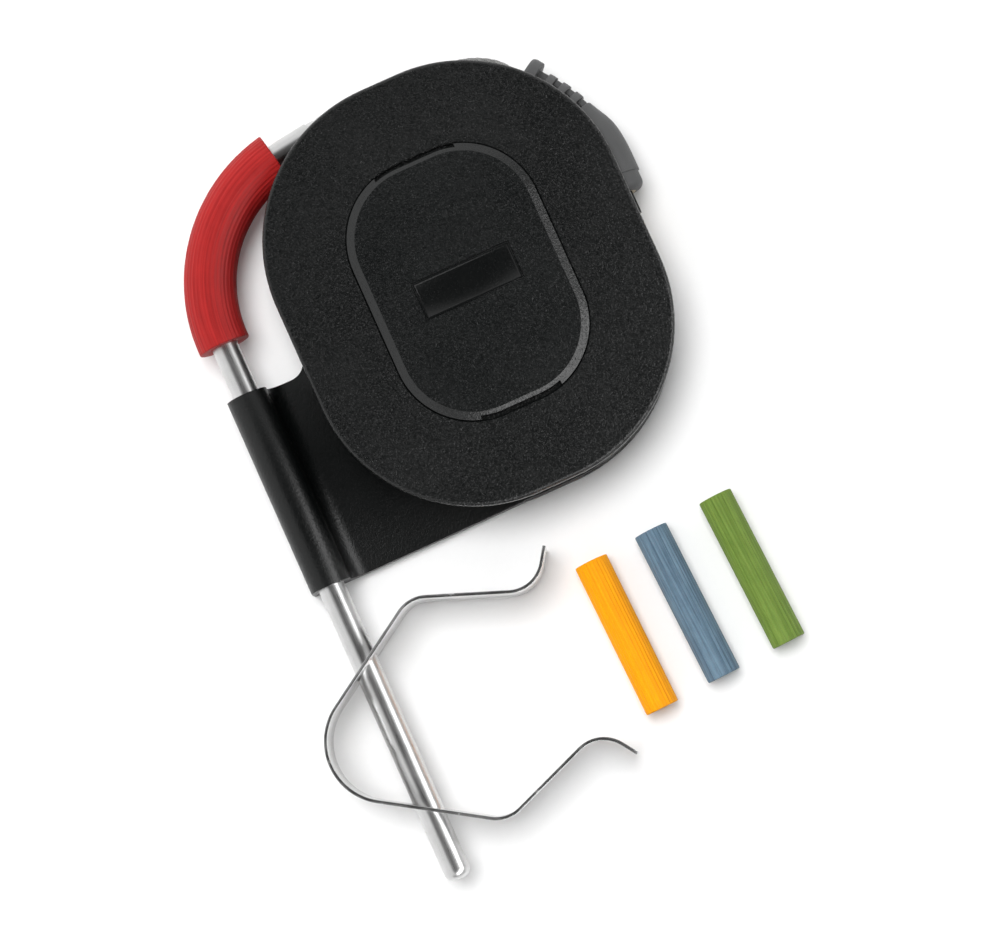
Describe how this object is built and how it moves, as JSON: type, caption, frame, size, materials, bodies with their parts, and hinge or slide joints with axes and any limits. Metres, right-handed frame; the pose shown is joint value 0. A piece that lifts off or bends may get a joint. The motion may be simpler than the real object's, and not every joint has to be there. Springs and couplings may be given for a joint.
{
  "type": "meat thermometer",
  "caption": "Wired meat thermometer probe stowed in the side sleeve of its oval cable wrap, with a spring grate clip and slip-on marking bands.",
  "frame": {"origin": "centre of the cable wrap's outline, on its flat rear face that rests on the table", "axes": "+Z out of the wrap's front face, +Y along the stowed probe from its tip to its bend, +X from the probe towards the plug's side"},
  "size_m": [0.0778, 0.1131, 0.0133],
  "materials": {
    "shell_plastic": "fine moulded grain, satin",
    "cap_plastic": "fine moulded grain, satin",
    "badge": "smooth, glossy",
    "cable_braid": "braided stainless wire",
    "plug_rubber": "satin overmould",
    "jack_metal": "polished plating",
    "insulator": "matt",
    "probe_steel": "drawn and lightly brushed",
    "bead_ceramic": "glazed bead",
    "epoxy": "cured resin",
    "lead_enamel": "enamelled wire",
    "silicone_red": "ribbed silicone",
    "clip_steel": "rolled spring steel",
    "silicone_yellow": "ribbed silicone",
    "silicone_blue": "ribbed silicone",
    "silicone_green": "ribbed silicone"
  },
  "bodies": {
    "wrap": {"rear_shell": "shell_plastic", "winding_drum": "shell_plastic", "front_flange": "shell_plastic", "hub_cap": "cap_plastic", "badge_plate": "badge", "cable_coil": "cable_braid", "cable_lead_probe": "cable_braid", "cable_lead_plug": "cable_braid", "strain_relief": "plug_rubber", "plug_body": "plug_rubber", "jack_sleeve": "jack_metal", "jack_insulator": "insulator", "jack_tip": "jack_metal"},
    "probe": {"probe_tube": "probe_steel", "tip_cap": "probe_steel", "thermistor_bead": "bead_ceramic", "thermal_filling": "epoxy", "sensor_leads": "lead_enamel", "tail_seal": "epoxy", "crimp_ferrule": "probe_steel", "band_red": "silicone_red"},
    "clip": {"grate_clip": "clip_steel"},
    "band_yellow": {"band_yellow": "silicone_yellow"},
    "band_blue": {"band_blue": "silicone_blue"},
    "band_green": {"band_green": "silicone_green"}
  },
  "joints": [
    {"name": "probe_slide", "type": "slide", "parent": "wrap", "child": "probe", "axis": [0, 1, 0], "range_m": [0, 0.0035]},
    {"name": "clip_slide", "type": "slide", "parent": "probe", "child": "clip", "axis": [0, -1, 0], "range_m": [-0.0025, 0.036]},
    {"name": "band_yellow_lift", "type": "slide", "parent": "wrap", "child": "band_yellow", "axis": [0, 0, 1], "range_m": [0, 0.03]},
    {"name": "band_blue_lift", "type": "slide", "parent": "wrap", "child": "band_blue", "axis": [0, 0, 1], "range_m": [0, 0.03]},
    {"name": "band_green_lift", "type": "slide", "parent": "wrap", "child": "band_green", "axis": [0, 0, 1], "range_m": [0, 0.03]}
  ]
}
